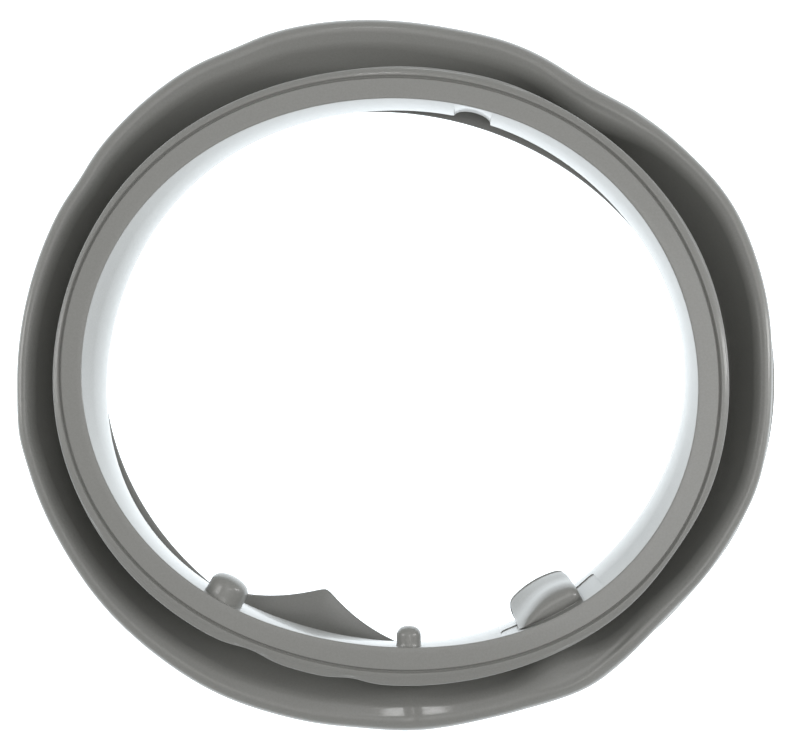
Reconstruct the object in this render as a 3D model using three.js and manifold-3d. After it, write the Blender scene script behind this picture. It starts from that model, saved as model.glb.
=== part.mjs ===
// Washing machine door seal, moulded in grey rubber as one piece.
// It lies on its tub rim at z = 0 with the door side up. Millimetres and degrees, +Z up.
import * as THREE from 'three';
import { mergeVertices } from 'three/addons/utils/BufferGeometryUtils.js';
import Module from 'manifold-3d';

// Front lip, which the door glass closes against
const OPENING_DIAMETER = 300.8;
const SEAL_HEIGHT = 92;
const FACE_WIDTH = 11.4;
const FACE_THICKNESS = 4.6;
const EDGE_ROUND = 0.6;
const GROOVE_WIDTH = 2;
const GROOVE_DEPTH = 1.1;
const LEDGE_WIDTH = 2.3;
const LEDGE_STEP = 0.5;
const SKIRT_WIDTH = 4.7;
const SKIRT_THICKNESS = 1.7;
const SKIRT_DROOP = 0.6;

// Slot behind the skirt for the flange of the front panel
const FLANGE_SLOT_WIDTH = 4;
const FLANGE_SLOT_FLOOR = 3;
const RIB_REACH = 5;
const RIB_THICKNESS = 2.4;

// Bellows wall: throat, channel, roll and outer wall. The fold stands steep at the sides of the ring.
// The OPEN values are what changes by the top and the bottom, where the seal has sagged open.
const WALL = 2.6;
const THROAT_DEPTH = 56;
const THROAT_TAPER = 1.2;
const THROAT_FLARE = 6.5;
const NOSE_BEND = 6;
const CHANNEL_WIDTH = 24;
const CHANNEL_RISE = 5;
const CHANNEL_BEND = 9;
const OPEN_CHANNEL_NARROWING = 8;
const OPEN_CHANNEL_RISE = 15;
const CREST_DROP = 2.5;
const CREST_BEND = 7;
const OPEN_CREST_DROP = 3;
const OPEN_CREST_BEND = 6;
const ROLL_REACH = 42.6;
const ROLL_DROP = 15.5;
const ROLL_WIDTH = 8;
const OPEN_ROLL_WIDTH = 6;
const ROLL_BEND = 4.6;
const WAIST_DEPTH = 4;
const WAIST_DROP = 32;
const WAIST_BEND = 21;

// Tub rim: a seat for the clamping band outside, a slot for the tub's edge in its rear face
const RIM_REACH = 7.5;
const RIM_WIDTH = 14;
const RIM_HEIGHT = 18;
const RIM_ROUND = 1.2;
const BEAD_HEIGHT = 7;
const BAND_SEAT_WIDTH = 6;
const BAND_SEAT_DEPTH = 2.4;
const TUB_SLOT_INSET = 5.2;
const TUB_SLOT_WIDTH = 3.6;
const TUB_SLOT_DEPTH = 9;

// Rear lip, a flat apron with one pointed tongue
const REAR_LIP_HEIGHT = 12.6;
const REAR_LIP_THICKNESS = 2;
const REAR_LIP_SETBACK = 5.9;
const TONGUE = {
  at: 252.3,
  length: 29.4,
  before: 23,
  after: 34,
  hollowBefore: 1.25,
  hollowAfter: 1.75,
  tipRound: 0.6,
};

// Drain notch that runs down the throat
const NOTCH = { at: 72.8, halfWidth: 4, depth: 4 };

// Buffers on the throat wall: two round pegs and one block, which the door glass rests on
const PEGS = [
  { at: 233.1, diameter: 20.8, length: 12.8, below: 12, crown: 8 },
  { at: 273.7, diameter: 12.6, length: 10.4, below: 8, crown: 6 },
];
const BLOCK = {
  at: 303.65,
  width: 36,
  endWidth: 35.5,
  length: 15.2,
  below: 4.2,
  depth: 31,
  frontRound: 6.5,
  rearRound: 1.5,
  endRound: 1.5,
  roundShare: 0.25,
  slump: 1.9,
  crown: 3.4,
  tilt: 3.2,
};

// The block's side view from its front to its rear, as shares of its length and its depth
const BLOCK_SIDE = [
  [0, 0],
  [0.17, 0.02],
  [0.33, 0.07],
  [0.46, 0.14],
  [0.57, 0.24],
  [0.64, 0.36],
  [0.69, 0.48],
  [0.78, 0.63],
  [0.9, 0.78],
  [0.98, 0.91],
  [1, 0.97],
  [0.97, 1],
  [0, 1],
];

// The seal has sagged out of round. Waves run all the way round it, bumps are single swellings
// and dents of the given height and half width.
const FRONT_WAVES = [
  { count: 2, height: 8.9, at: 174 },
  { count: 3, height: 1.5, at: 73.5 },
  { count: 4, height: 0.65, at: 48 },
];
const NOSE_WAVES = [
  { count: 2, height: 6.2, at: 1 },
  { count: 3, height: 0.75, at: 95 },
  { count: 4, height: 0.8, at: 23 },
  { count: 5, height: 0.85, at: 68 },
];
const ROLL_WAVES = [
  { count: 2, height: 6, at: 175 },
  { count: 3, height: 1.75, at: 0 },
  { count: 4, height: 1.3, at: 22 },
];
const RIM_WAVES = [
  { count: 2, height: 7, at: 174 },
  { count: 3, height: 1.7, at: 0 },
];
const REAR_LIP_WAVES = [
  { count: 1, height: 5.5, at: 301 },
  { count: 2, height: 8.4, at: 158.5 },
];
const FACE_BUMPS = [{ at: 268, height: 1.1, width: 20 }];
const SKIRT_BUMPS = [
  { at: 275, height: 2.6, width: 26 },
  { at: 231, height: 2.1, width: 26 },
  { at: 22, height: 0.9, width: 14 },
  { at: 86, height: 0.8, width: 10 },
  { at: 70, height: 1, width: 9 },
  { at: 166, height: -1.6, width: 20 },
  { at: 328, height: -1.6, width: 9 },
  { at: 243, height: -2.2, width: 4 },
  { at: 262.5, height: -1.7, width: 3.5 },
];
const ROLL_BUMPS = [
  { at: 27, height: 2.2, width: 9 },
  { at: 55, height: -2.7, width: 7 },
  { at: 71, height: 1, width: 7 },
  { at: 116, height: -1.3, width: 5 },
  { at: 148, height: -1.1, width: 4 },
  { at: 189, height: 1, width: 4 },
  { at: 208, height: -1.1, width: 10 },
  { at: 241, height: 1.3, width: 10 },
  { at: 265, height: -1, width: 6 },
  { at: 285, height: -1.3, width: 8 },
  { at: 303, height: 2.6, width: 7 },
  { at: 319, height: -1.8, width: 7 },
  { at: 342, height: 1.2, width: 6 },
  { at: 1, height: -2, width: 9 },
];
const CREASES = [
  { at: 52, height: 7, width: 8 },
  { at: 274, height: 2, width: 5 },
  { at: 301, height: 6, width: 7 },
];
const RIM_BUMPS = [
  { at: 56, height: -1.6, width: 12 },
  { at: 322, height: -1.8, width: 11 },
];

// Fineness of the loft
const STATION_STEP = 5.9;
const CLOSEST_STATIONS = 1.6;
const NOTCH_STATIONS = [-1, -0.75, -0.4, 0, 0.4, 0.75, 1];
const TONGUE_STATION = 4.5;
const SLIGHT_BEND_STEPS = 1;
const BROAD_BEND_STEPS = 2;
const ROLL_BEND_STEPS = 3;
const PEG_SIDES = 20;
const CROWN_STEPS = 4;
const BLOCK_ROUND_STEPS = 3;

const RUBBER = new THREE.MeshStandardMaterial({
  name: 'grey_rubber',
  color: 0x8a8a85,
  roughness: 0.6,
  metalness: 0,
});

const wasm = await Module();
wasm.setup();

const radians = THREE.MathUtils.degToRad;
const FRONT_Z = SEAL_HEIGHT;
const NOSE_Z = SEAL_HEIGHT - THROAT_DEPTH;
const ROLL_Z = SEAL_HEIGHT - ROLL_DROP;
const OPENING_RADIUS = OPENING_DIAMETER / 2;

// Smallest turn from one direction to another, between -180 and 180
function turnBetween(from, to) {
  return THREE.MathUtils.euclideanModulo(to - from + 180, 360) - 180;
}

function waveSum(waves, angle) {
  return waves.reduce((sum, w) => sum + w.height * Math.cos(w.count * radians(angle - w.at)), 0);
}

function bumpSum(bumps, angle) {
  const swell = (b) => b.height * Math.exp(-((turnBetween(b.at, angle) / b.width) ** 2));
  return bumps.reduce((sum, b) => sum + swell(b), 0);
}

// The rear lip's tongue rises in two hollow flanks to a rounded tip
function tongueLength(angle) {
  const turn = turnBetween(TONGUE.at, angle);
  const flank = turn < 0 ? TONGUE.before : TONGUE.after;
  const hollow = turn < 0 ? TONGUE.hollowBefore : TONGUE.hollowAfter;
  const blunt = Math.hypot(turn, TONGUE.tipRound) - TONGUE.tipRound;
  return TONGUE.length * Math.max(0, 1 - blunt / flank) ** hollow;
}

// Across the notch the throat wall steps out in a half round
function notchDepth(angle) {
  const across = turnBetween(NOTCH.at, angle) / NOTCH.halfWidth;
  return Math.abs(across) < 1 ? NOTCH.depth * Math.sqrt(1 - across * across) : 0;
}

// How far the fold has sagged open: not at all at the sides of the ring, fully at its top and bottom
function openness(angle) {
  return Math.sin(radians(angle)) ** 2;
}

// Radii of the seal's lines in one direction from the axis
function linesAt(angle) {
  const open = openness(angle);
  const opening = OPENING_RADIUS + waveSum(FRONT_WAVES, angle);
  const groove = opening + FACE_WIDTH + bumpSum(FACE_BUMPS, angle);
  const skirt = groove + SKIRT_WIDTH + bumpSum(SKIRT_BUMPS, angle);
  const noseRound = OPENING_RADIUS - THROAT_TAPER + waveSum(NOSE_WAVES, angle);
  const nose = noseRound + notchDepth(angle);
  const channel = noseRound + CHANNEL_WIDTH - OPEN_CHANNEL_NARROWING * open;
  const meanRoll = OPENING_RADIUS + ROLL_REACH;
  const roll = meanRoll + waveSum(ROLL_WAVES, angle) + bumpSum(ROLL_BUMPS, angle);
  const crest = roll - ROLL_WIDTH - OPEN_ROLL_WIDTH * open - bumpSum(CREASES, angle);
  const rim = meanRoll + RIM_REACH + waveSum(RIM_WAVES, angle) + bumpSum(RIM_BUMPS, angle);
  const apron = OPENING_RADIUS + REAR_LIP_SETBACK + waveSum(REAR_LIP_WAVES, angle);
  const rearLip = apron - tongueLength(angle);
  return { opening, groove, skirt, nose, channel, roll, crest, rim, rearLip };
}

// Inner radius of the throat at a height: it narrows as it leaves the fold, then curves out to the lip
function throatRadius(angle, z) {
  const { opening, nose } = linesAt(angle);
  const rise = (z - NOSE_Z) / THROAT_DEPTH;
  return nose - THROAT_FLARE * rise + (THROAT_FLARE + opening - nose) * rise ** 2;
}

// Points of a bend from one straight wall into the next, at a distance to the left of its middle line
function bendPoints(before, corner, after, radius, steps, offset) {
  const arrive = corner.clone().sub(before);
  const leave = after.clone().sub(corner);
  const room = Math.min(arrive.length(), leave.length()) / 2;
  arrive.normalize();
  leave.normalize();
  const turn = Math.atan2(arrive.cross(leave), arrive.dot(leave));
  const tangent = Math.min(radius * Math.tan(Math.abs(turn) / 2), room);
  const bend = tangent / Math.tan(Math.abs(turn) / 2);
  const side = Math.sign(turn);
  const start = corner.clone().addScaledVector(arrive, -tangent);
  const normal = new THREE.Vector2(-arrive.y, arrive.x);
  const centre = start.clone().addScaledVector(normal, side * bend);
  const spoke = start.clone().sub(centre).normalize();
  const points = [];
  for (let step = 0; step <= steps; step += 1) {
    const direction = spoke.clone().rotateAround(new THREE.Vector2(), (turn * step) / steps);
    points.push(centre.clone().addScaledVector(direction, Math.max(bend - side * offset, 0)));
  }
  return points;
}

// One side of the bellows wall, along its middle line from the front lip to the tub rim
function wallSide(corners, offset) {
  const first = corners[0].point;
  const last = corners[corners.length - 1].point;
  const points = [new THREE.Vector2(first.x + offset, first.y)];
  for (let i = 1; i < corners.length - 1; i += 1) {
    const { point, radius, steps } = corners[i];
    const bend = () => bendPoints(corners[i - 1].point, point, corners[i + 1].point, radius, steps, offset);
    points.push(...(steps ? bend() : [new THREE.Vector2(point.x + offset, point.y)]));
  }
  points.push(new THREE.Vector2(last.x + offset, last.y));
  return points;
}

// The front lip: rounded edge, flat face, groove, ledge and thin skirt, then the flange slot and its rib
function frontLipPoints(lines) {
  const bevel = EDGE_ROUND * (1 - Math.SQRT1_2);
  const ledge = lines.groove + GROOVE_WIDTH / 2 + LEDGE_WIDTH;
  const skirtBend = lines.skirt - SKIRT_THICKNESS / 2;
  const skirtFront = FRONT_Z - LEDGE_STEP - SKIRT_DROOP;
  const slotFloor = lines.opening + WALL + FLANGE_SLOT_FLOOR;
  const slotFront = FRONT_Z - FACE_THICKNESS;
  const slotRear = slotFront - FLANGE_SLOT_WIDTH;
  return [
    [lines.opening, FRONT_Z - EDGE_ROUND],
    [lines.opening + bevel, FRONT_Z - bevel],
    [lines.opening + EDGE_ROUND, FRONT_Z],
    [lines.groove - GROOVE_WIDTH / 2, FRONT_Z],
    [lines.groove, FRONT_Z - GROOVE_DEPTH],
    [lines.groove + GROOVE_WIDTH / 2, FRONT_Z],
    [Math.min(ledge, skirtBend - LEDGE_STEP), FRONT_Z],
    [Math.min(ledge, skirtBend - LEDGE_STEP) + LEDGE_STEP / 2, FRONT_Z - LEDGE_STEP],
    [skirtBend, skirtFront],
    [lines.skirt, skirtFront - SKIRT_THICKNESS / 2],
    [skirtBend, skirtFront - SKIRT_THICKNESS],
    [slotFloor, slotFront],
    [slotFloor, slotRear],
    [slotFloor + RIB_REACH, slotRear],
    [slotFloor + RIB_REACH, slotRear - RIB_THICKNESS / 2],
  ];
}

// The tub rim, from the band seat outside, round the rear face with its slot, to the rim's inner corner
function tubRimPoints(lines) {
  const seatTop = BEAD_HEIGHT + BAND_SEAT_WIDTH;
  const slotOuter = lines.rim - TUB_SLOT_INSET;
  const slotInner = slotOuter - TUB_SLOT_WIDTH;
  return [
    [lines.rim - RIM_ROUND, seatTop + RIM_ROUND],
    [lines.rim - RIM_ROUND, seatTop],
    [lines.rim - BAND_SEAT_DEPTH, seatTop],
    [lines.rim - BAND_SEAT_DEPTH, BEAD_HEIGHT],
    [lines.rim, BEAD_HEIGHT],
    [lines.rim, RIM_ROUND],
    [lines.rim - RIM_ROUND, 0],
    [slotOuter, 0],
    [slotOuter, TUB_SLOT_DEPTH],
    [slotInner, TUB_SLOT_DEPTH],
    [slotInner, 0],
    [lines.rim - RIM_WIDTH, 0],
  ];
}

function rearLipPoints(lines) {
  return [
    [lines.rim - RIM_WIDTH, REAR_LIP_HEIGHT - REAR_LIP_THICKNESS],
    [lines.rearLip, REAR_LIP_HEIGHT],
    [lines.rearLip, REAR_LIP_HEIGHT + REAR_LIP_THICKNESS],
    [lines.rim - RIM_WIDTH, REAR_LIP_HEIGHT + REAR_LIP_THICKNESS],
  ];
}

// The whole section in one direction, as pairs of radius and height
function sectionAt(angle) {
  const lines = linesAt(angle);
  const open = openness(angle);
  const ribFoot = FRONT_Z - FACE_THICKNESS - FLANGE_SLOT_WIDTH - RIB_THICKNESS - RIB_REACH / 2;
  const channelZ = NOSE_Z + CHANNEL_RISE + OPEN_CHANNEL_RISE * open;
  const crestZ = ROLL_Z - WALL / 2 - CREST_DROP - OPEN_CREST_DROP * open;
  const crestBend = CREST_BEND + OPEN_CREST_BEND * open;
  const waist = ROLL_Z - WAIST_DROP;
  const corner = (x, y, radius, steps) => ({ point: new THREE.Vector2(x, y), radius, steps });
  const onThroat = (z) => corner(throatRadius(angle, z) + WALL / 2, z);
  const middle = [
    onThroat(ribFoot),
    onThroat((ribFoot + NOSE_Z) / 2),
    corner(lines.nose + WALL / 2, NOSE_Z + WALL / 2, NOSE_BEND, BROAD_BEND_STEPS),
    corner(lines.channel, channelZ, CHANNEL_BEND, BROAD_BEND_STEPS),
    corner(lines.crest, crestZ, crestBend, ROLL_BEND_STEPS),
    corner(lines.roll - WALL / 2, ROLL_Z - WALL / 2, ROLL_BEND, ROLL_BEND_STEPS),
    corner(lines.roll - WAIST_DEPTH, waist, WAIST_BEND, SLIGHT_BEND_STEPS),
    corner(lines.rim - RIM_WIDTH / 2, RIM_HEIGHT),
  ];
  const channelSide = wallSide(middle, WALL / 2).map((p) => [p.x, p.y]);
  const hiddenSide = wallSide(middle, -WALL / 2).map((p) => [p.x, p.y]).reverse();
  return [
    ...frontLipPoints(lines),
    ...channelSide,
    ...tubRimPoints(lines),
    ...rearLipPoints(lines),
    ...hiddenSide,
  ];
}

// Sections stand at even steps, and closer where something narrow needs them
function stationAngles() {
  const tip = [-TONGUE_STATION, -TONGUE.tipRound, TONGUE.tipRound, TONGUE_STATION];
  const dents = SKIRT_BUMPS.filter((b) => b.width < STATION_STEP);
  const wanted = [
    ...tip.map((turn) => TONGUE.at + turn),
    ...[TONGUE.at - TONGUE.before, TONGUE.at + TONGUE.after],
    ...dents.flatMap((b) => [b.at - b.width / 2, b.at, b.at + b.width / 2]),
    ...ROLL_BUMPS.map((b) => b.at),
    ...CREASES.map((b) => b.at),
  ];
  for (let angle = 0; angle < 360; angle += STATION_STEP) wanted.push(angle);
  const whole = (angle) => THREE.MathUtils.euclideanModulo(angle, 360);
  const angles = NOTCH_STATIONS.map((share) => whole(NOTCH.at + share * NOTCH.halfWidth));
  for (const angle of wanted) {
    const distances = angles.map((other) => Math.abs(turnBetween(other, angle)));
    if (Math.min(...distances) > CLOSEST_STATIONS) angles.push(whole(angle));
  }
  return angles.sort((a, b) => a - b);
}

// Closed skin through sections that stand round the axis
function loftRing(angles, sectionOf) {
  const sections = angles.map(sectionOf);
  const count = sections[0].length;
  const positions = [];
  sections.forEach((section, i) => {
    const direction = radians(angles[i]);
    section.forEach(([r, z]) => positions.push(r * Math.cos(direction), r * Math.sin(direction), z));
  });
  const index = [];
  for (let i = 0; i < angles.length; i += 1) {
    const here = i * count;
    const next = ((i + 1) % angles.length) * count;
    for (let j = 0; j < count; j += 1) {
      const k = (j + 1) % count;
      index.push(here + j, next + k, next + j, here + j, here + k, next + k);
    }
  }
  const geometry = new THREE.BufferGeometry();
  geometry.setAttribute('position', new THREE.Float32BufferAttribute(positions, 3));
  geometry.setIndex(index);
  return geometry;
}

function toSolid(geometry) {
  const bare = geometry.clone();
  bare.deleteAttribute('normal');
  bare.deleteAttribute('uv');
  const merged = mergeVertices(bare, 1e-4);
  const index = merged.index.array;
  const triangles = [];
  for (let i = 0; i < index.length; i += 3) {
    const [a, b, c] = [index[i], index[i + 1], index[i + 2]];
    if (a !== b && b !== c && c !== a) triangles.push(a, b, c);
  }
  const mesh = new wasm.Mesh({
    numProp: 3,
    vertProperties: new Float32Array(merged.attributes.position.array),
    triVerts: new Uint32Array(triangles),
  });
  return new wasm.Manifold(mesh);
}

function toGeometry(solid) {
  const mesh = solid.getMesh();
  const geometry = new THREE.BufferGeometry();
  geometry.setAttribute('position', new THREE.BufferAttribute(new Float32Array(mesh.vertProperties), 3));
  geometry.setIndex(new THREE.BufferAttribute(new Uint32Array(mesh.triVerts), 1));
  return geometry;
}

// Place on the throat wall: its point, the direction into the opening and the direction along the wall
function seatOnThroat(angle, below) {
  const z = FRONT_Z - below;
  const pointAt = (a) => {
    const radius = throatRadius(a, z);
    return new THREE.Vector3(radius * Math.cos(radians(a)), radius * Math.sin(radians(a)), z);
  };
  const along = pointAt(angle + 1).sub(pointAt(angle - 1)).normalize();
  const up = new THREE.Vector3(0, 0, 1);
  const inward = up.clone().cross(along);
  return { point: pointAt(angle), along, inward, up };
}

// What stands on the throat wall is rooted inside it: nothing reaches past the wall's middle
function throatCore(angles) {
  const inner = OPENING_RADIUS / 2;
  const bottom = NOSE_Z + WALL;
  const top = FRONT_Z - EDGE_ROUND;
  const sectionOf = (angle) => {
    const outer = (z) => [throatRadius(angle, z) + WALL / 2, z];
    return [[inner, bottom], [inner, top], outer(top), outer(bottom)];
  };
  return toSolid(loftRing(angles, sectionOf));
}

// A round peg with a full, rounded end
function pegSolid(peg) {
  const radius = peg.diameter / 2;
  const profile = [new THREE.Vector2(0, -WALL), new THREE.Vector2(radius, -WALL)];
  for (let step = 0; step <= CROWN_STEPS; step += 1) {
    const turn = (Math.PI / 2) * (step / CROWN_STEPS);
    const height = peg.length - peg.crown + peg.crown * Math.sin(turn);
    profile.push(new THREE.Vector2(radius * Math.cos(turn), height));
  }
  profile[profile.length - 1].x = 0;
  const { point, along, inward, up } = seatOnThroat(peg.at, peg.below);
  const geometry = new THREE.LatheGeometry(profile, PEG_SIDES);
  geometry.applyMatrix4(new THREE.Matrix4().makeBasis(along, inward, up).setPosition(point));
  return toSolid(geometry);
}

// One slice through the block, at a share of its half width. Towards the rounded ends it gets lower and
// shorter, and its front slumps away.
function blockSlice(share) {
  const over = Math.max(0, Math.abs(share) - 1 + BLOCK.roundShare) / BLOCK.roundShare;
  const inset = 1 - Math.sqrt(1 - over ** 2);
  const drop = BLOCK.crown * share ** 2 - (BLOCK.tilt / 2) * share;
  const reach = BLOCK.length - BLOCK.endRound * inset - drop;
  const front = BLOCK.depth / 2 - BLOCK.frontRound * inset;
  const rear = BLOCK.rearRound * inset - BLOCK.depth / 2;
  const points = BLOCK_SIDE.map(([out, down]) => {
    const width = THREE.MathUtils.lerp(BLOCK.width, BLOCK.endWidth, out ** 2);
    const fullness = Math.max(0, 1 - BLOCK.slump * share ** 2 * (1 - down));
    return [out * reach * fullness, THREE.MathUtils.lerp(front, rear, down), (share * width) / 2];
  });
  const [first, last] = [points[0], points[points.length - 1]];
  return [[-WALL, first[1], first[2]], ...points, [-WALL, last[1], last[2]]].reverse();
}

// The block, lofted through slices that stand closer over its rounded ends
function blockSolid() {
  const straight = 1 - BLOCK.roundShare;
  const shares = [0, straight / 2, straight];
  for (let step = 1; step <= BLOCK_ROUND_STEPS; step += 1) {
    shares.push(straight + BLOCK.roundShare * Math.sin((Math.PI / 2) * (step / BLOCK_ROUND_STEPS)));
  }
  const mirrored = shares.slice(1).map((share) => -share).reverse();
  const slices = [...mirrored, ...shares].map(blockSlice);
  const count = slices[0].length;
  const index = [];
  for (let i = 0; i + 1 < slices.length; i += 1) {
    for (let j = 0; j < count; j += 1) {
      const [a, b] = [i * count + j, i * count + ((j + 1) % count)];
      index.push(a, b, b + count, a, b + count, a + count);
    }
  }
  const last = (slices.length - 1) * count;
  for (let j = 1; j + 1 < count; j += 1) {
    index.push(0, j + 1, j, last, last + j, last + j + 1);
  }
  const geometry = new THREE.BufferGeometry();
  geometry.setAttribute('position', new THREE.Float32BufferAttribute(slices.flat(2), 3));
  geometry.setIndex(index);
  const { point, along, inward, up } = seatOnThroat(BLOCK.at, BLOCK.below + BLOCK.depth / 2);
  geometry.applyMatrix4(new THREE.Matrix4().makeBasis(inward, up, along).setPosition(point));
  return toSolid(geometry);
}

function buildSeal() {
  const angles = stationAngles();
  const core = throatCore(angles);
  let solid = toSolid(loftRing(angles, sectionAt));
  for (const peg of PEGS) solid = solid.add(pegSolid(peg).intersect(core));
  solid = solid.add(blockSolid().intersect(core));
  const mesh = new THREE.Mesh(toGeometry(solid), RUBBER);
  mesh.name = 'door_seal';
  return mesh;
}

// The origin is the middle of the outline, in the plane that the tub rim lies on
const doorSeal = new THREE.Group();
const seal = buildSeal();
const outline = new THREE.Box3().setFromObject(seal);
const middle = outline.getCenter(new THREE.Vector3());
seal.position.set(-middle.x, -middle.y, 0);
doorSeal.add(seal);

export default doorSeal;
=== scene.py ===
# Washing machine door seal: the moulded ring with its pegs, block, tongue and notch, in grey rubber.
# It lies on its tub rim at z = 0 with the door side up. Sizes are millimetres and degrees.
import math

import bmesh
import bpy
import numpy as np
from mathutils import Matrix, Vector


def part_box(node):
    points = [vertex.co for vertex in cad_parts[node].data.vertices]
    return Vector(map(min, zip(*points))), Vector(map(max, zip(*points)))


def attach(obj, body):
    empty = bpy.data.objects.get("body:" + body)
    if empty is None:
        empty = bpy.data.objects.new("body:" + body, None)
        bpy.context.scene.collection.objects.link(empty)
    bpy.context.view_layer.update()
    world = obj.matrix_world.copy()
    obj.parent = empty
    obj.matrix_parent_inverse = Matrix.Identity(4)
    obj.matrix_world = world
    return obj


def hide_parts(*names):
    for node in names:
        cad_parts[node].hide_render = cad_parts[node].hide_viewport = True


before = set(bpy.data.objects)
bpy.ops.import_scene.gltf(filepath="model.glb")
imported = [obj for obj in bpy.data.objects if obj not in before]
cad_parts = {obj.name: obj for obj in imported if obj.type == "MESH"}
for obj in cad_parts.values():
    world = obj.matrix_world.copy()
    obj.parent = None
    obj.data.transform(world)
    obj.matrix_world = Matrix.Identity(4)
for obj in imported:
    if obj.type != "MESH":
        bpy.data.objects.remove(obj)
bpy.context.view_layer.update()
low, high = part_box("door_seal")

MM = 0.001

# Front lip
SEAL_HEIGHT = (high.z - low.z) / MM
OPENING_RADIUS = 150.4
FACE_WIDTH = 11.4
FACE_THICKNESS = 4.6
EDGE_ROUND = 0.6
GROOVE_WIDTH = 2.0
GROOVE_DEPTH = 1.4
GROOVE_TAPER = 1.5
LEDGE_WIDTH = 2.3
LEDGE_STEP = 0.5
SKIRT_WIDTH = 4.7
SKIRT_THICKNESS = 1.7
SKIRT_DROOP = 0.6
FLANGE_SLOT_WIDTH = 4.0
FLANGE_SLOT_FLOOR = 3.0
RIB_REACH = 5.0
RIB_THICKNESS = 2.4

# Bellows wall
WALL = 2.6
THROAT_DEPTH = 56.0
THROAT_TAPER = 1.2
THROAT_FLARE = 6.5
NOSE_BEND = 6.0
CHANNEL_WIDTH = 24.0
CHANNEL_RISE = 5.0
CHANNEL_BEND = 9.0
OPEN_NARROWING = 8.0
OPEN_RISE = 15.0
CREST_DROP = 2.5
CREST_BEND = 7.0
OPEN_CREST_DROP = 3.0
OPEN_CREST_BEND = 6.0
OPEN_ROLL_WIDTH = 6.0
ROLL_REACH = 42.6
ROLL_DROP = 15.5
ROLL_WIDTH = 8.0
ROLL_BEND = 4.6
WAIST_DEPTH = 4.0
WAIST_DROP = 32.0
WAIST_BEND = 21.0
LEAST_BEND = 0.3

# Tub rim and rear lip
RIM_REACH = 7.5
RIM_WIDTH = 14.0
RIM_HEIGHT = 18.0
RIM_ROUND = 1.2
BEAD_HEIGHT = 7.0
BAND_SEAT_WIDTH = 6.0
BAND_SEAT_DEPTH = 2.4
TUB_SLOT_INSET = 5.2
TUB_SLOT_WIDTH = 3.6
TUB_SLOT_DEPTH = 9.0
REAR_LIP_HEIGHT = 12.6
REAR_LIP_THICKNESS = 2.0
REAR_LIP_SETBACK = 5.9

# Tongue of the rear lip: its flanks before and after the tip have their own reach and hollowness
TONGUE_AT = 252.3
TONGUE_LENGTH = 29.4
TONGUE_BEFORE = 23.0
TONGUE_AFTER = 38.5
TONGUE_TIP = 1.1
TONGUE_HOLLOW_BEFORE = 1.25
TONGUE_HOLLOW_AFTER = 1.8

# Half-round drain notch in the nose of the wall
NOTCH_AT = 72.8
NOTCH_HALF_WIDTH = 4.0
NOTCH_DEPTH = 4.0

# Pegs on the throat wall: angle, diameter, length, middle below the face, height of the crown
PEGS = [
    (233.1, 20.8, 12.8, 12.0, 6.6),
    (273.7, 12.6, 10.4, 8.0, 5.4),
]
PEG_FULLNESS = 0.88
ROOT_FLARE = 0.35
SEAT_FADE = 4.0

# Block on the throat wall
BLOCK_AT = 303.65
BLOCK_ROOT_WIDTH = 36.0
BLOCK_END_WIDTH = 33.0
BLOCK_LENGTH = 15.2
BLOCK_DEPTH = 32.4
BLOCK_BELOW = 2.4
BLOCK_FRONT_ROUND = 4.0
BLOCK_REAR_ROUND = 1.5
BLOCK_END_ROUND = 1.5
BLOCK_ROUND_SHARE = 0.25
BLOCK_NARROWING = 4
BLOCK_SLUMP = 0.5
BLOCK_FULLEST = 0.45
BLOCK_CROWN = 2.6
BLOCK_TILT = 1.4
# The block's side view from its front to its rear, as shares of its length and its depth
BLOCK_SIDE = [
    (0, 0.085),
    (0.12, 0.035),
    (0.26, 0.02),
    (0.42, 0.06),
    (0.55, 0.14),
    (0.64, 0.25),
    (0.69, 0.36),
    (0.73, 0.48),
    (0.8, 0.63),
    (0.9, 0.78),
    (0.98, 0.91),
    (1, 0.97),
    (0.97, 1),
    (0, 1),
]

# Shallow panel in the throat wall round the block: its ends, its rear edge below the face and its corners
PANEL_FROM = 292.9
PANEL_TO = 315.3
PANEL_REAR_FROM = 15.5
PANEL_REAR_TO = 33.0
PANEL_CORNER = 1.6
PANEL_DEPTH = 0.5
PANEL_FRONT_DEPTH = 0.12
PANEL_CUTTER_REACH = 6.0

# Waves round the ring as count, height and angle; bumps as angle, height and half width
FRONT_WAVES = [(2, 8.9, 174), (3, 1.5, 73.5), (4, 0.65, 48)]
NOSE_WAVES = [(2, 6.2, 1), (3, 0.75, 95), (4, 0.8, 23), (5, 0.85, 68)]
ROLL_WAVES = [(2, 6, 175), (3, 1.75, 0), (4, 1.3, 22)]
RIM_WAVES = [(2, 7, 174), (3, 1.7, 0)]
REAR_LIP_WAVES = [(1, 5.5, 301), (2, 8.4, 158.5)]
FACE_BUMPS = [(268, 1.1, 20)]
SKIRT_BUMPS = [
    (275, 2.6, 26),
    (231, 2.1, 26),
    (22, 0.9, 14),
    (86, 0.8, 10),
    (70, 1, 9),
    (166, -1.6, 20),
    (328, -1.6, 9),
    (243, -2.2, 4),
    (262.5, -1.7, 3.5),
]
ROLL_BUMPS = [
    (27, 2.2, 9),
    (55, -2.7, 7),
    (71, 1, 7),
    (116, -1.3, 5),
    (148, -1.1, 4),
    (189, 1, 4),
    (208, -1.1, 10),
    (241, 1.3, 10),
    (265, -1, 6),
    (285, -1.3, 8),
    (303, 2.6, 7),
    (319, -1.8, 7),
    (342, 1.2, 6),
    (1, -2, 9),
]
CREASES = [(52, 7, 8), (274, 2, 5), (300, 9.5, 6.5)]
RIM_BUMPS = [(56, -1.6, 12), (322, -1.8, 11)]
ROLL_DIPS = [(273.6, -0.4, 0.9)]
FLOOR_RISES = [(300, 8, 5)]

# Soft folds on the roll: angle, half width, distance inside the roll's edge, spread, pitch, height
FOLDS = [
    (309, 5.5, 7.0, 4.5, 4.0, 0.24),
    (299, 4.5, 5.5, 3.2, 7.0, 0.5),
    (54, 6, 8.0, 4.0, 5.0, 0.13),
]

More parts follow.
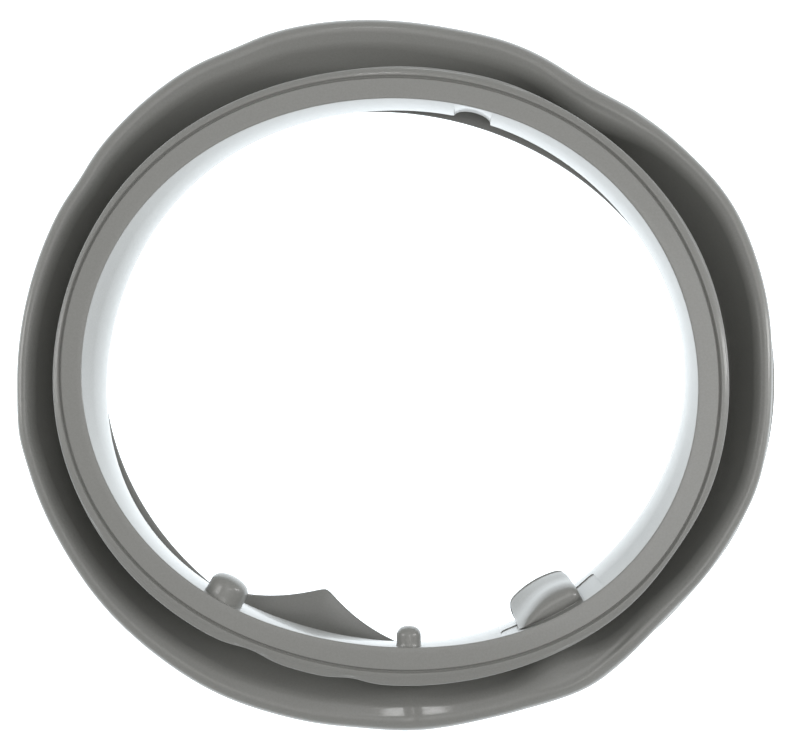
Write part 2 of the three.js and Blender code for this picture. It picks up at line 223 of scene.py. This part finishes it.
FRONT_Z = SEAL_HEIGHT
NOSE_Z = SEAL_HEIGHT - THROAT_DEPTH
ROLL_Z = SEAL_HEIGHT - ROLL_DROP

# Fineness of the mesh: angles in degrees, rows and steps as counts
STATION_STEP = 0.9
LEAST_STATION_GAP = 0.02
NOTCH_STATIONS = 41
TIP_SPREAD = 3
TIP_STATIONS = 21
PINCH_SPREAD = 2
PINCH_STATIONS = 17
BEND_STEPS = 10
EDGE_STEPS = 5
SKIRT_STEPS = 8
BEAD_STEPS = 4
APRON_STEPS = 6
FACE_ROWS = 3
GROOVE_ROWS = 9
LEDGE_ROWS = 5
DROOP_ROWS = 2
THROAT_ROWS = 9
FOLD_ROWS = 8
APRON_ROWS = 3
PEG_SIDES = 64
PEG_ROOT_RINGS = 7
PEG_CROWN_RINGS = 15
BLOCK_SLICES = 72
BLOCK_SIDE_ROWS = 60
CURVE_STEPS = 12
PANEL_SLICES = 49
DOUBLE_DISTANCE = 1e-4
SHARP_ANGLE = 38.0

# Rubber: two close greys, noises as scale, detail and roughness, and a thin sheen
RUBBER_DARK = (0.236, 0.236, 0.222)
RUBBER_LIGHT = (0.262, 0.262, 0.248)
RUBBER_IOR = 1.5
MOTTLE = (900, 4, 0.65)
MOTTLE_LOW = 0.3
MOTTLE_HIGH = 0.7
DULLNESS = (140, 3, 0.6)
GRAIN = (1600, 3, 0.6)
GRAIN_STRENGTH = 0.12
GRAIN_HEIGHT = 0.1 * MM
ROUGHNESS_LOW = 0.29
ROUGHNESS_HIGH = 0.36
COAT_WEIGHT = 0.3
COAT_ROUGHNESS = 0.1

# Floor and light, in metres and watts. Each lamp: name, place, aim, width, length, power.
FLOOR_SIZE = 6.0
FLOOR_COLOUR = (0.8, 0.8, 0.8, 1)
FLOOR_ROUGHNESS = 0.9
FLOOR_GLOW_COLOUR = (0.88, 0.95, 1.0, 1)
FLOOR_GLOW = 1.6
SKY_COLOUR = (1.0, 1.0, 1.0, 1)
SKY_STRENGTH = 0.47
LAMPS = [
    ("overhead", (0.0, 0.1, 2.2), (0, 0, 0), 0.9, 0.9, 2.0),
    ("near_camera", (0.31, -0.05, 1.3), (0.15, -0.03, 0.09), 0.42, 0.42, 1.0),
    ("window", (-0.05, 0.578, 1.126), (0.01, -0.176, 0.073), 0.09, 0.08, 0.5),
    ("right_side", (1.05, 0.1, 0.72), (0.19, 0, 0.08), 0.14, 0.8, 4.2),
    ("left_side", (-1.0, 0.1, 0.75), (-0.19, 0, 0.08), 0.3, 0.7, 3.2),
]

# Camera, from the middle of the outline; the photo's width is in pixels and the reach in metres
CAMERA_AT = (27.3, -25.4, 1242.0)
CAMERA_TO = (1.7, -0.7, 92.0)
PHOTO_WIDTH = 795
MM_PER_PIXEL = 0.514
SENSOR = 36.0
CAMERA_REACH = 20


def turn_between(start, end):
    return (end - start + 180) % 360 - 180


def wave_sum(waves, angle):
    return sum(height * np.cos(count * np.radians(angle - at)) for count, height, at in waves)


def bump_sum(bumps, angle):
    return sum(height * np.exp(-((turn_between(at, angle) / width) ** 2)) for at, height, width in bumps)


def tongue_length(angle):
    """How far the tongue reaches in from the rear lip."""
    turn = turn_between(TONGUE_AT, angle)
    flank = np.where(turn < 0, TONGUE_BEFORE, TONGUE_AFTER)
    hollow = np.where(turn < 0, TONGUE_HOLLOW_BEFORE, TONGUE_HOLLOW_AFTER)
    blunt = np.hypot(turn, TONGUE_TIP) - TONGUE_TIP
    return TONGUE_LENGTH * np.maximum(0, 1 - blunt / flank) ** hollow


def notch_depth(angle):
    """How far the drain notch cuts out into the wall's nose."""
    across = turn_between(NOTCH_AT, angle) / NOTCH_HALF_WIDTH
    return NOTCH_DEPTH * np.sqrt(np.maximum(0, 1 - across * across))


def lines_at(angle):
    """Radii, heights and bends of the seal's lines in each direction."""
    opening = OPENING_RADIUS + wave_sum(FRONT_WAVES, angle)
    groove = opening + FACE_WIDTH + bump_sum(FACE_BUMPS, angle)
    skirt = groove + SKIRT_WIDTH + bump_sum(SKIRT_BUMPS, angle)
    nose_round = OPENING_RADIUS - THROAT_TAPER + wave_sum(NOSE_WAVES, angle)
    mean_roll = OPENING_RADIUS + ROLL_REACH
    roll = mean_roll + wave_sum(ROLL_WAVES, angle) + bump_sum(ROLL_BUMPS, angle)
    rim = mean_roll + RIM_REACH + wave_sum(RIM_WAVES, angle) + bump_sum(RIM_BUMPS, angle)
    apron = OPENING_RADIUS + REAR_LIP_SETBACK + wave_sum(REAR_LIP_WAVES, angle)
    # The fold lies open at the top and the bottom of the ring, and stands steep at its sides
    openness = (1 - np.cos(2 * np.radians(angle))) / 2
    roll_z = ROLL_Z - WALL / 2 + bump_sum(ROLL_DIPS, angle)
    return {
        "opening": opening,
        "groove": groove,
        "skirt": skirt,
        "nose": nose_round + notch_depth(angle),
        "roll": roll,
        "crest": roll - ROLL_WIDTH - OPEN_ROLL_WIDTH * openness - bump_sum(CREASES, angle),
        "roll_z": roll_z,
        "crest_z": roll_z - CREST_DROP - OPEN_CREST_DROP * openness,
        "crest_bend": CREST_BEND + OPEN_CREST_BEND * openness,
        "floor": nose_round + CHANNEL_WIDTH - OPEN_NARROWING * openness,
        "floor_z": NOSE_Z + CHANNEL_RISE + OPEN_RISE * openness + bump_sum(FLOOR_RISES, angle),
        "rim": rim,
        "rear_lip": apron - tongue_length(angle),
    }


def throat_radius(angle, z):
    """Inner radius of the throat, which narrows as it leaves the fold and curves out to the lip."""
    lines = lines_at(angle)
    rise = (z - NOSE_Z) / THROAT_DEPTH
    spread = THROAT_FLARE + lines["opening"] - lines["nose"]
    return lines["nose"] - THROAT_FLARE * rise + spread * rise ** 2


def wall_radius(angle, z):
    """Inner radius of the throat in one direction."""
    return float(throat_radius(np.array([angle]), z)[0])


def column(r, z):
    """One line of the section round the ring, as an array of radius and height."""
    r = np.asarray(r, float)
    return np.stack([r, np.broadcast_to(np.asarray(z, float), r.shape)], axis=-1)


def arc_columns(r, z, radius, start, end, steps):
    """Columns on an arc about a line of the section."""
    turns = np.radians(np.linspace(start, end, steps + 1))
    return [column(r + radius * math.cos(t), z + radius * math.sin(t)) for t in turns]


def bend_columns(before, corner, after, radius, steps, offset):
    """Columns of a bend from one straight wall into the next, to the left of its middle line."""
    arrive = corner - before
    leave = after - corner
    arrive_length = np.linalg.norm(arrive, axis=1)
    leave_length = np.linalg.norm(leave, axis=1)
    room = np.minimum(arrive_length, leave_length) / 2
    arrive = arrive / arrive_length[:, None]
    leave = leave / leave_length[:, None]
    cross = arrive[:, 0] * leave[:, 1] - arrive[:, 1] * leave[:, 0]
    turn = np.arctan2(cross, (arrive * leave).sum(axis=1))
    half = np.tan(np.abs(turn) / 2)
    tangent = np.minimum(radius * half, room)
    bend = tangent / half
    side = np.sign(turn)
    normal = np.stack([-arrive[:, 1], arrive[:, 0]], axis=1)
    centre = corner - arrive * tangent[:, None] + normal * (side * bend)[:, None]
    reach = np.maximum(bend - side * offset, LEAST_BEND)
    columns = []
    for step in range(steps + 1):
        t = turn * step / steps
        spoke = -normal * side[:, None]
        turned = np.stack(
            [
                spoke[:, 0] * np.cos(t) - spoke[:, 1] * np.sin(t),
                spoke[:, 0] * np.sin(t) + spoke[:, 1] * np.cos(t),
            ],
            axis=1,
        )
        columns.append(centre + turned * reach[:, None])
    return columns


def wall_side(corners, offset):
    """One side of the bellows wall, along its middle line from the front lip to the tub rim."""
    first = corners[0][0]
    last = corners[-1][0]
    columns = [column(first[:, 0] + offset, first[:, 1])]
    for i in range(1, len(corners) - 1):
        point, radius, steps = corners[i]
        if steps == 0:
            columns.append(column(point[:, 0] + offset, point[:, 1]))
            continue
        columns += bend_columns(corners[i - 1][0], point, corners[i + 1][0], radius, steps, offset)
    columns.append(column(last[:, 0] + offset, last[:, 1]))
    return columns


def straight_columns(start, end, count):
    """Columns between two, so that a wide band has rows of its own."""
    shares = np.linspace(0, 1, count + 2)[1:-1]
    return [start + (end - start) * share for share in shares]


def front_lip(lines):
    """Rounded edge, flat face, groove, ledge, thin drooping skirt, flange slot and rib."""
    ledge = lines["groove"] + GROOVE_WIDTH / 2 + LEDGE_WIDTH
    skirt_bend = lines["skirt"] - SKIRT_THICKNESS / 2
    ledge = np.minimum(ledge, skirt_bend - 2 * LEDGE_STEP)
    step_foot = FRONT_Z - LEDGE_STEP
    skirt_middle = step_foot - SKIRT_DROOP - SKIRT_THICKNESS / 2
    slot_floor = lines["opening"] + WALL + FLANGE_SLOT_FLOOR
    slot_front = FRONT_Z - FACE_THICKNESS
    slot_rear = slot_front - FLANGE_SLOT_WIDTH
    edge = arc_columns(lines["opening"] + EDGE_ROUND, FRONT_Z - EDGE_ROUND, EDGE_ROUND, 180, 90, EDGE_STEPS)
    groove = []
    for share in np.linspace(-1, 1, GROOVE_ROWS):
        fall = GROOVE_DEPTH * math.cos(share * math.pi / 2) ** GROOVE_TAPER if abs(share) < 1 else 0
        groove.append(column(lines["groove"] + share * GROOVE_WIDTH / 2, FRONT_Z - fall))
    face = straight_columns(edge[-1], groove[0], FACE_ROWS)
    step = []
    for share in np.linspace(0, 1, LEDGE_ROWS):
        fall = LEDGE_STEP * math.sin(share * math.pi / 2)
        step.append(column(ledge + 2 * LEDGE_STEP * share, FRONT_Z - fall))
    skirt_top = column(skirt_bend, skirt_middle + SKIRT_THICKNESS / 2)
    droop = straight_columns(column(step[-1][:, 0], step_foot), skirt_top, DROOP_ROWS)
    skirt = arc_columns(skirt_bend, skirt_middle, SKIRT_THICKNESS / 2, 80, -90, SKIRT_STEPS)
    rib = slot_floor + RIB_REACH
    return [
        *edge,
        *face,
        *groove,
        *step,
        *droop,
        *skirt,
        column(slot_floor, slot_front),
        column(slot_floor, slot_rear),
        column(rib, slot_rear),
        column(rib, slot_rear - RIB_THICKNESS / 2),
    ]


def tub_rim(lines):
    """Band seat outside, rear face with the slot for the tub's edge."""
    seat_top = BEAD_HEIGHT + BAND_SEAT_WIDTH
    rim = lines["rim"]
    slot_outer = rim - TUB_SLOT_INSET
    slot_inner = slot_outer - TUB_SLOT_WIDTH
    return [
        column(rim - RIM_ROUND, seat_top + RIM_ROUND),
        column(rim - RIM_ROUND, seat_top),
        column(rim - BAND_SEAT_DEPTH, seat_top),
        column(rim - BAND_SEAT_DEPTH, BEAD_HEIGHT),
        *arc_columns(rim - RIM_ROUND, BEAD_HEIGHT - RIM_ROUND, RIM_ROUND, 90, 0, BEAD_STEPS),
        *arc_columns(rim - RIM_ROUND, RIM_ROUND, RIM_ROUND, 0, -90, BEAD_STEPS),
        column(slot_outer, 0),
        column(slot_outer, TUB_SLOT_DEPTH),
        column(slot_inner, TUB_SLOT_DEPTH),
        column(slot_inner, 0),
        column(rim - RIM_WIDTH, 0),
    ]


def rear_lip(lines):
    """Flat apron with a rounded inner edge."""
    root = lines["rim"] - RIM_WIDTH
    half = REAR_LIP_THICKNESS / 2
    top = REAR_LIP_HEIGHT + REAR_LIP_THICKNESS
    bottom = REAR_LIP_HEIGHT - REAR_LIP_THICKNESS
    edge = arc_columns(lines["rear_lip"] + half, REAR_LIP_HEIGHT, half, 270, 90, APRON_STEPS)
    tip = [points + [0, half] for points in edge]
    return [
        column(root, bottom),
        *straight_columns(column(root, bottom), tip[0], APRON_ROWS),
        *tip,
        *straight_columns(tip[-1], column(root, top), APRON_ROWS),
        column(root, top),
    ]


def fold_relief(lines, angles, radius):
    """Height of the soft folds that lie along the roll."""
    inside = lines["roll"] - radius
    relief = np.zeros(len(angles))
    for at, width, middle, spread, pitch, height in FOLDS:
        along = np.exp(-((turn_between(at, angles) / width) ** 2))
        across = np.exp(-(((inside - middle) / spread) ** 2))
        relief += height * along * across * np.cos(2 * math.pi * (inside - middle) / pitch)
    return relief


def ring_section(angles):
    """The whole closed section in each direction, from the lip's edge over the channel to the rear lip."""
    lines = lines_at(angles)
    rib_foot = FRONT_Z - FACE_THICKNESS - FLANGE_SLOT_WIDTH - RIB_THICKNESS - RIB_REACH / 2
    throat = [
        (column(throat_radius(angles, z) + WALL / 2, z), 0, 0)
        for z in np.linspace(rib_foot, NOSE_Z + NOSE_BEND, THROAT_ROWS)
    ]
    middle = [
        *throat,
        (column(lines["nose"] + WALL / 2, NOSE_Z + WALL / 2), NOSE_BEND, BEND_STEPS),
        (column(lines["floor"], lines["floor_z"]), CHANNEL_BEND, BEND_STEPS),
        (column(lines["crest"], lines["crest_z"]), lines["crest_bend"], BEND_STEPS),
        (column(lines["roll"] - WALL / 2, lines["roll_z"]), ROLL_BEND, BEND_STEPS),
        (column(lines["roll"] - WAIST_DEPTH, ROLL_Z - WAIST_DROP), WAIST_BEND, BEND_STEPS // 2),
        (column(lines["rim"] - RIM_WIDTH / 2, RIM_HEIGHT), 0, 0),
    ]
    channel_side = wall_side(middle, WALL / 2)
    roll_start = len(throat) + 3 * (BEND_STEPS + 1)
    slope = straight_columns(channel_side[roll_start - 1], channel_side[roll_start], FOLD_ROWS)
    channel_side = channel_side[:roll_start] + slope + channel_side[roll_start:]
    for points in channel_side[roll_start - BEND_STEPS:roll_start + FOLD_ROWS + BEND_STEPS // 2]:
        points[:, 1] += fold_relief(lines, angles, points[:, 0])
    nose = len(throat) + 1
    coarser = [(point, radius, steps // 2) for point, radius, steps in middle[nose:]]
    hidden_side = wall_side(middle[:nose] + coarser, -WALL / 2)[::-1]
    return front_lip(lines) + channel_side + tub_rim(lines) + rear_lip(lines) + hidden_side


def station_angles():
    """Even steps, and finer ones over the notch, the tip of the tongue and the pinch in the roll."""
    even = np.arange(0, 360, STATION_STEP)
    notch = NOTCH_AT + NOTCH_HALF_WIDTH * np.sin(np.linspace(-90, 90, NOTCH_STATIONS) * math.pi / 180)
    tip = TONGUE_AT + np.linspace(-TIP_SPREAD, TIP_SPREAD, TIP_STATIONS)
    pinch_turns = np.linspace(-PINCH_SPREAD, PINCH_SPREAD, PINCH_STATIONS)
    pinch = [at + turn for at, _, width in ROLL_DIPS for turn in pinch_turns * width]
    angles = np.sort(np.concatenate([even, notch, tip, pinch]) % 360)
    keep = np.concatenate([[True], np.diff(angles) > LEAST_STATION_GAP])
    return angles[keep]


def new_piece(name, points, faces):
    mesh = bpy.data.meshes.new(name)
    mesh.from_pydata([tuple(p) for p in points], [], faces)
    mesh.validate()
    piece = bpy.data.objects.new(name, mesh)
    bpy.context.scene.collection.objects.link(piece)
    return piece


def ring_points(angles):
    section = np.stack(ring_section(angles), axis=1)
    direction = np.radians(angles)[:, None]
    x = section[..., 0] * np.cos(direction)
    y = section[..., 0] * np.sin(direction)
    return np.stack([x, y, section[..., 1]], axis=-1)


def loft_faces(stations, points, closed=True):
    """Quads of a loft whose sections are closed, and which closes on itself if asked."""
    faces = []
    for i in range(stations if closed else stations - 1):
        here = i * points
        after = ((i + 1) % stations) * points
        for j in range(points):
            k = (j + 1) % points
            faces.append((here + j, here + k, after + k, after + j))
    return faces


def capped_loft(name, sections):
    """Closed piece lofted through sections, with a face at each end."""
    count = len(sections[0])
    faces = loft_faces(len(sections), count, closed=False)
    faces.append(tuple(reversed(range(count))))
    faces.append(tuple(range((len(sections) - 1) * count, len(sections) * count)))
    return new_piece(name, np.concatenate(sections), faces)


class Seat:
    """Place on the throat wall, with a map from flat sizes to points that follow the wall at the root."""

    def __init__(self, angle, below):
        self.z = FRONT_Z - below
        self.point = self.wall_point(angle)
        along = self.wall_point(angle + 1) - self.wall_point(angle - 1)
        self.along = along / np.linalg.norm(along)
        self.up = np.array([0.0, 0.0, 1.0])
        self.inward = np.cross(self.up, self.along)

    def wall_point(self, angle):
        radius = wall_radius(angle, self.z)
        turn = math.radians(angle)
        return np.array([radius * math.cos(turn), radius * math.sin(turn), self.z])

    def place(self, across, up, reach):
        """Points at sizes along the wall, up it and out from it."""
        across, up, reach = (np.asarray(v, float) for v in (across, up, reach))
        flat = self.point + across[..., None] * self.along + up[..., None] * self.up
        angle = np.degrees(np.arctan2(flat[..., 1], flat[..., 0]))
        gap = np.hypot(flat[..., 0], flat[..., 1]) - throat_radius(angle, flat[..., 2])
        share = np.clip(reach / SEAT_FADE, 0, 1)
        hold = 1 - share * share * (3 - 2 * share)
        return flat + (reach + gap * hold)[..., None] * self.inward


def make_peg(name, angle, diameter, length, below, crown):
    """Round peg with a full rounded end and a small fillet where it leaves the wall."""
    radius = diameter / 2
    heights = []
    radii = []
    for share in np.linspace(0, 1, PEG_ROOT_RINGS):
        heights.append(-WALL / 2 + share * (length - crown + WALL / 2))
        radii.append(radius + ROOT_FLARE * math.exp(-max(heights[-1], 0) / ROOT_FLARE))
    for turn in np.radians(np.linspace(0, 90, PEG_CROWN_RINGS))[1:-1]:
        heights.append(length - crown + crown * math.sin(turn) ** PEG_FULLNESS)
        radii.append(radius * math.cos(turn) ** PEG_FULLNESS)
    seat = Seat(angle, below)
    around = np.radians(np.arange(PEG_SIDES) * 360 / PEG_SIDES)
    rings = [
        seat.place(r * np.cos(around), r * np.sin(around), np.full(PEG_SIDES, h))
        for r, h in zip(radii, heights)
    ]
    ends = [seat.place([0.0], [0.0], [height]) for height in (length, heights[0])]
    points = np.concatenate(rings + ends)
    faces = []
    for i in range(len(rings) - 1):
        here = i * PEG_SIDES
        after = here + PEG_SIDES
        for j in range(PEG_SIDES):
            k = (j + 1) % PEG_SIDES
            faces.append((here + j, after + j, after + k, here + k))
    last = (len(rings) - 1) * PEG_SIDES
    tip = len(points) - 2
    root = len(points) - 1
    for j in range(PEG_SIDES):
        k = (j + 1) % PEG_SIDES
        faces.append((last + j, tip, last + k))
        faces.append((j, k, root))
    return new_piece(name, points, faces)


def smooth_curve(points, count):
    """Points at even steps along a rounded line through the given ones."""
    points = np.array(points, float)
    ends = np.vstack([2 * points[0] - points[1], points, 2 * points[-1] - points[-2]])
    rows = []
    for i in range(1, len(ends) - 2):
        a, b, c, d = ends[i - 1:i + 3]
        for t in np.linspace(0, 1, CURVE_STEPS, endpoint=False):
            rows.append(
                b + (c - a) * t / 2 + (2 * a - 5 * b + 4 * c - d) * t ** 2 / 2
                + (3 * b - a - 3 * c + d) * t ** 3 / 2
            )
    rows.append(points[-1])
    rows = np.array(rows)
    way = np.concatenate([[0], np.cumsum(np.linalg.norm(np.diff(rows, axis=0), axis=1))])
    even = np.linspace(0, way[-1], count)
    return np.stack([np.interp(even, way, rows[:, 0]), np.interp(even, way, rows[:, 1])], axis=1)


def make_block(name):
    """Loaf-shaped block, lofted through side views that shrink towards its rounded ends."""
    scaled = [(reach * BLOCK_LENGTH, down * BLOCK_DEPTH) for reach, down in BLOCK_SIDE]
    side = smooth_curve(scaled, BLOCK_SIDE_ROWS)
    seat = Seat(BLOCK_AT, BLOCK_BELOW + BLOCK_DEPTH / 2)
    slices = []
    for turn in np.linspace(-math.pi / 2, math.pi / 2, BLOCK_SLICES):
        share = math.sin(turn)
        over = max(0.0, (abs(share) - 1 + BLOCK_ROUND_SHARE) / BLOCK_ROUND_SHARE)
        inset = 1 - math.sqrt(max(0.0, 1 - over ** 2))
        drop = BLOCK_CROWN * share ** 2 - BLOCK_TILT / 2 * share
        reach = side[:, 0] * (1 - (BLOCK_END_ROUND * inset + drop) / BLOCK_LENGTH)
        fullness = 1 - BLOCK_SLUMP * (share - BLOCK_FULLEST) ** 2 * (1 - side[:, 1] / BLOCK_DEPTH)
        reach = reach * np.maximum(0, fullness)
        front = BLOCK_FRONT_ROUND * inset
        rear = BLOCK_REAR_ROUND * inset
        down = front + side[:, 1] * (BLOCK_DEPTH - front - rear) / BLOCK_DEPTH
        out = (side[:, 0] / BLOCK_LENGTH) ** BLOCK_NARROWING
        narrowing = 1 - (1 - BLOCK_END_WIDTH / BLOCK_ROOT_WIDTH) * out
        across = share * BLOCK_ROOT_WIDTH / 2 * narrowing
        reach = np.concatenate([[-WALL / 2], reach, [-WALL / 2]])
        down = np.concatenate([[down[0]], down, [down[-1]]])
        across = np.concatenate([[across[0]], across, [across[-1]]])
        slices.append(seat.place(across, BLOCK_DEPTH / 2 - down, reach)[::-1])
    return capped_loft(name, slices)


def make_panel_cutter(name):
    """Solid that takes the shallow panel out of the throat wall."""
    angles = np.linspace(PANEL_FROM, PANEL_TO, PANEL_SLICES)
    share = (angles - PANEL_FROM) / (PANEL_TO - PANEL_FROM)
    end = np.minimum(angles - PANEL_FROM, PANEL_TO - angles)
    over = np.clip(1 - end / PANEL_CORNER, 0, 1)
    corner = math.radians(PANEL_CORNER) * OPENING_RADIUS * (1 - np.sqrt(1 - over ** 2))
    rear = FRONT_Z - (PANEL_REAR_FROM + share * (PANEL_REAR_TO - PANEL_REAR_FROM)) + corner
    front = FRONT_Z - 2 * EDGE_ROUND
    sections = []
    for angle, z in zip(angles, rear):
        rear_radius = wall_radius(angle, z)
        front_radius = wall_radius(angle, front)
        turn = math.radians(angle)
        inner = [(rear_radius - PANEL_CUTTER_REACH, z), (front_radius - PANEL_CUTTER_REACH, front)]
        outer = [(front_radius + PANEL_FRONT_DEPTH, front), (rear_radius + PANEL_DEPTH, z)]
        loop = np.array(inner + outer)
        x = loop[:, 0] * math.cos(turn)
        y = loop[:, 0] * math.sin(turn)
        sections.append(np.stack([x, y, loop[:, 1]], axis=1))
    return capped_loft(name, sections)


def face_outwards(piece):
    """Turns the faces of a closed mesh outwards, and drops doubled points."""
    bm = bmesh.new()
    bm.from_mesh(piece.data)
    bmesh.ops.remove_doubles(bm, verts=bm.verts, dist=DOUBLE_DISTANCE)
    bmesh.ops.recalc_face_normals(bm, faces=bm.faces)
    if bm.calc_volume(signed=True) < 0:
        bmesh.ops.reverse_faces(bm, faces=bm.faces)
    bm.to_mesh(piece.data)
    bm.free()


def combine(piece, tool, operation):
    """Joins or cuts with another closed piece, which is then deleted."""
    modifier = piece.modifiers.new("combine", "BOOLEAN")
    modifier.operation = operation
    modifier.solver = "MANIFOLD"
    modifier.object = tool
    bpy.context.view_layer.update()
    graph = bpy.context.evaluated_depsgraph_get()
    mesh = bpy.data.meshes.new_from_object(piece.evaluated_get(graph))
    piece.modifiers.clear()
    piece.data = mesh
    bpy.data.objects.remove(tool)


def make_seal():
    angles = station_angles()
    points = ring_points(angles)
    count = points.shape[1]
    seal = new_piece("moulded_seal", points.reshape(-1, 3), loft_faces(len(angles), count))
    face_outwards(seal)
    cutter = make_panel_cutter("panel_cutter")
    face_outwards(cutter)
    combine(seal, cutter, "DIFFERENCE")
    for number, peg in enumerate(PEGS):
        part = make_peg(f"peg_{number}", *peg)
        face_outwards(part)
        combine(seal, part, "UNION")
    block = make_block("block")
    face_outwards(block)
    combine(seal, block, "UNION")
    return seal


def centre_on_frame(piece):
    """Puts the piece, still in millimetres round its own axis, where the solid is."""
    places = np.empty(len(piece.data.vertices) * 3)
    piece.data.vertices.foreach_get("co", places)
    places = places.reshape(-1, 3)
    own_middle = (places.min(axis=0) + places.max(axis=0)) / 2
    middle = (Vector(low) + Vector(high)) / 2 / MM
    shift = Vector((middle.x - own_middle[0], middle.y - own_middle[1], 0))
    piece.data.transform(Matrix.Scale(MM, 4) @ Matrix.Translation(shift))


def socket_value(node, name, value):
    node.inputs[name].default_value = value


def noise(nodes, links, vector, scale, detail, roughness):
    texture = nodes.new("ShaderNodeTexNoise")
    socket_value(texture, "Scale", scale)
    socket_value(texture, "Detail", detail)
    socket_value(texture, "Roughness", roughness)
    links.new(vector, texture.inputs["Vector"])
    return texture.outputs["Fac"]


def ramp(nodes, links, value, stops):
    """Maps a number between two colour stops."""
    node = nodes.new("ShaderNodeValToRGB")
    for element, (place, colour) in zip(node.color_ramp.elements, stops):
        element.position = place
        element.color = (*colour, 1)
    links.new(value, node.inputs["Fac"])
    return node.outputs["Color"]


def rubber_material():
    """Satin grey moulded rubber: even fine grain, faint mottle and a thin sheen."""
    material = bpy.data.materials.new("grey_rubber")
    material.use_nodes = True
    nodes = material.node_tree.nodes
    links = material.node_tree.links
    shader = nodes["Principled BSDF"]
    place = nodes.new("ShaderNodeTexCoord").outputs["Object"]
    mottle = noise(nodes, links, place, *MOTTLE)
    tint = ramp(nodes, links, mottle, [(MOTTLE_LOW, RUBBER_DARK), (MOTTLE_HIGH, RUBBER_LIGHT)])
    links.new(tint, shader.inputs["Base Color"])
    dull = nodes.new("ShaderNodeMapRange")
    socket_value(dull, "To Min", ROUGHNESS_LOW)
    socket_value(dull, "To Max", ROUGHNESS_HIGH)
    links.new(noise(nodes, links, place, *DULLNESS), dull.inputs["Value"])
    links.new(dull.outputs["Result"], shader.inputs["Roughness"])
    bump = nodes.new("ShaderNodeBump")
    socket_value(bump, "Strength", GRAIN_STRENGTH)
    socket_value(bump, "Distance", GRAIN_HEIGHT)
    links.new(noise(nodes, links, place, *GRAIN), bump.inputs["Height"])
    links.new(bump.outputs["Normal"], shader.inputs["Normal"])
    socket_value(shader, "IOR", RUBBER_IOR)
    socket_value(shader, "Coat Weight", COAT_WEIGHT)
    socket_value(shader, "Coat Roughness", COAT_ROUGHNESS)
    return material


def make_floor():
    """Pale floor that glows like a light table, so that it shows white without a shadow."""
    half = FLOOR_SIZE / 2
    corners = [(-half, -half, 0), (half, -half, 0), (half, half, 0), (-half, half, 0)]
    floor = new_piece("floor", corners, [(0, 1, 2, 3)])
    material = bpy.data.materials.new("pale_floor")
    material.use_nodes = True
    shader = material.node_tree.nodes["Principled BSDF"]
    socket_value(shader, "Base Color", FLOOR_COLOUR)
    socket_value(shader, "Roughness", FLOOR_ROUGHNESS)
    socket_value(shader, "Emission Color", FLOOR_GLOW_COLOUR)
    socket_value(shader, "Emission Strength", FLOOR_GLOW)
    floor.data.materials.append(material)


def add_area_light(name, place, aim, width, length, power):
    data = bpy.data.lights.new(name, "AREA")
    data.shape = "RECTANGLE"
    data.size = width
    data.size_y = length
    data.energy = power
    light = bpy.data.objects.new(name, data)
    light.visible_camera = False
    light.location = place
    light.rotation_euler = (Vector(aim) - Vector(place)).to_track_quat("-Z", "Y").to_euler()
    bpy.context.scene.collection.objects.link(light)


def make_lights():
    world = bpy.data.worlds.new("studio")
    world.use_nodes = True
    background = world.node_tree.nodes["Background"]
    socket_value(background, "Color", SKY_COLOUR)
    socket_value(background, "Strength", SKY_STRENGTH)
    bpy.context.scene.world = world
    for lamp in LAMPS:
        add_area_light(*lamp)


def make_camera():
    place = Vector(CAMERA_AT)
    backwards = (place - Vector(CAMERA_TO)).normalized()
    right = Vector((0, 1, 0)).cross(backwards).normalized()
    up = backwards.cross(right)
    distance = (place - Vector(CAMERA_TO)).length
    data = bpy.data.cameras.new("photo_view")
    data.sensor_width = SENSOR
    data.lens = SENSOR * distance / (MM_PER_PIXEL * PHOTO_WIDTH)
    data.clip_end = CAMERA_REACH
    camera = bpy.data.objects.new("photo_view", data)
    turn = Matrix((right, up, backwards)).transposed().to_4x4()
    camera.matrix_world = Matrix.Translation(place * MM) @ turn
    bpy.context.scene.collection.objects.link(camera)
    bpy.context.scene.camera = camera


seal = make_seal()
centre_on_frame(seal)
seal.data.materials.clear()
seal.data.materials.append(rubber_material())
seal.data.shade_smooth()
seal.data.set_sharp_from_angle(angle=math.radians(SHARP_ANGLE))
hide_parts("door_seal")
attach(seal, "root")

make_floor()
make_lights()
make_camera()
bpy.context.scene.view_settings.view_transform = "Standard"

bpy.context.view_layer.update()
